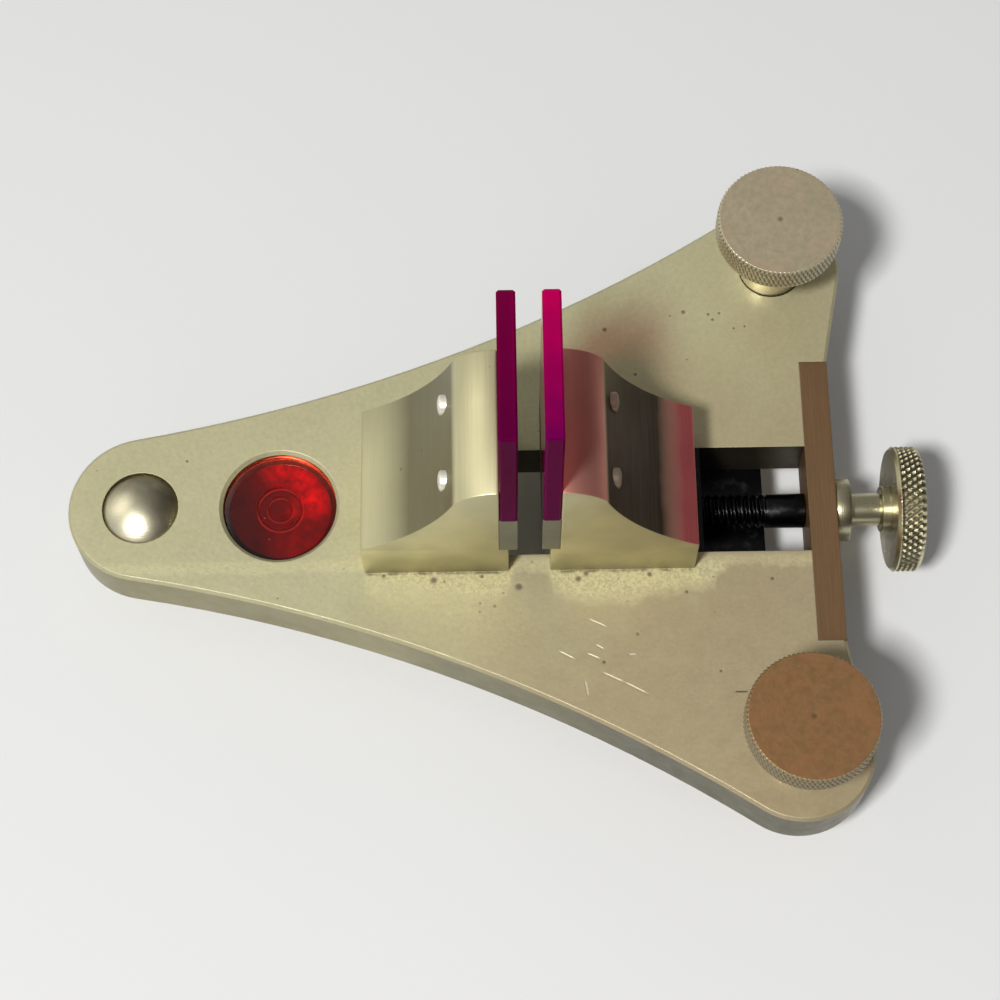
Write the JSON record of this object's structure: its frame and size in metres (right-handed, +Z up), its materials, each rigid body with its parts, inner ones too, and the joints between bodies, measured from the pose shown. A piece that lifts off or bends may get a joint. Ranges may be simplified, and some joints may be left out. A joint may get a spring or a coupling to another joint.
{
  "type": "poising tool",
  "caption": "Poising tool: upright ruby blades on scooped jaws over a footed base plate, with a screw-driven sliding jaw, knurled levelling screws and a round level.",
  "frame": {"origin": "on the table under the middle of the tool's bounding box", "axes": "+Z up; +X from the plate's nose to the adjusting knob; Y across the plate, between the levelling screws"},
  "size_m": [0.0834, 0.0646, 0.043],
  "materials": {
    "plate_metal": "satin nickel silver, spotted and worn",
    "end_plate_metal": "satin, browner than the plate",
    "jaw_metal": "smooth nickel silver",
    "seat_steel": "dull grey",
    "ruby": "polished, clear deep red",
    "pins": "polished",
    "small_screws": "turned, slotted",
    "level_housing": "turned",
    "level_dial": "engraved circle",
    "level_liquid": "red liquid",
    "level_bubble": "air bubble",
    "level_glass": "clear red glass",
    "stud": "polished dome",
    "screw_metal": "polished nickel silver",
    "dark_steel": "blackened",
    "knob_metal": "knurled nickel silver",
    "head_metal": "turned face, knurled edge"
  },
  "bodies": {
    "base": {"base_plate": "plate_metal", "end_plate": "end_plate_metal", "end_plate_screws": "small_screws", "fixed_jaw": "jaw_metal", "fixed_jaw_screws": "small_screws", "fixed_blade_seat": "seat_steel", "fixed_blade": "ruby", "fixed_blade_pins": "pins", "level_cup": "level_housing", "level_dial": "level_dial", "level_liquid": "level_liquid", "level_bubble": "level_bubble", "level_glass": "level_glass", "nose_stud": "stud", "nose_foot": "screw_metal"},
    "slider": {"sliding_jaw": "jaw_metal", "sliding_blade_seat": "seat_steel", "sliding_blade": "ruby", "sliding_blade_pins": "pins", "guide_block": "dark_steel", "keeper_plate": "dark_steel", "keeper_screws": "small_screws"},
    "spindle": {"lead_screw": "dark_steel", "thrust_collar": "knob_metal", "adjusting_knob": "knob_metal"},
    "front_stem": {"front_screw_stem": "screw_metal"},
    "front_head": {"front_screw_head": "head_metal"},
    "back_stem": {"back_screw_stem": "screw_metal"},
    "back_head": {"back_screw_head": "head_metal"}
  },
  "joints": [
    {"name": "knob_turn", "type": "hinge", "parent": "base", "child": "spindle", "pos_m": [0.03333, 0, 0.0087], "axis": [1, 0, 0], "range_deg": [-3034, 1018]},
    {"name": "jaw_slide", "type": "slide", "parent": "base", "child": "slider", "axis": [1, 0, 0], "range_m": [-0.0021, 0.0063]},
    {"name": "front_lift", "type": "slide", "parent": "base", "child": "front_stem", "axis": [0, 0, 1], "range_m": [-0.007, 0.004]},
    {"name": "front_turn", "type": "hinge", "parent": "front_stem", "child": "front_head", "pos_m": [0.02832, -0.0253, 0.0194], "axis": [0, 0, 1], "range_deg": [-3370, 1930]},
    {"name": "back_lift", "type": "slide", "parent": "base", "child": "back_stem", "axis": [0, 0, 1], "range_m": [-0.007, 0.004]},
    {"name": "back_turn", "type": "hinge", "parent": "back_stem", "child": "back_head", "pos_m": [0.02832, 0.0253, 0.0194], "axis": [0, 0, 1], "range_deg": [-3370, 1930]}
  ],
  "couplings": [
    {"joint": "knob_turn", "follows": "jaw_slide", "rad_per_m": -8377.6},
    {"joint": "front_turn", "follows": "front_lift", "rad_per_m": 8377.6},
    {"joint": "back_turn", "follows": "back_lift", "rad_per_m": 8377.6}
  ]
}
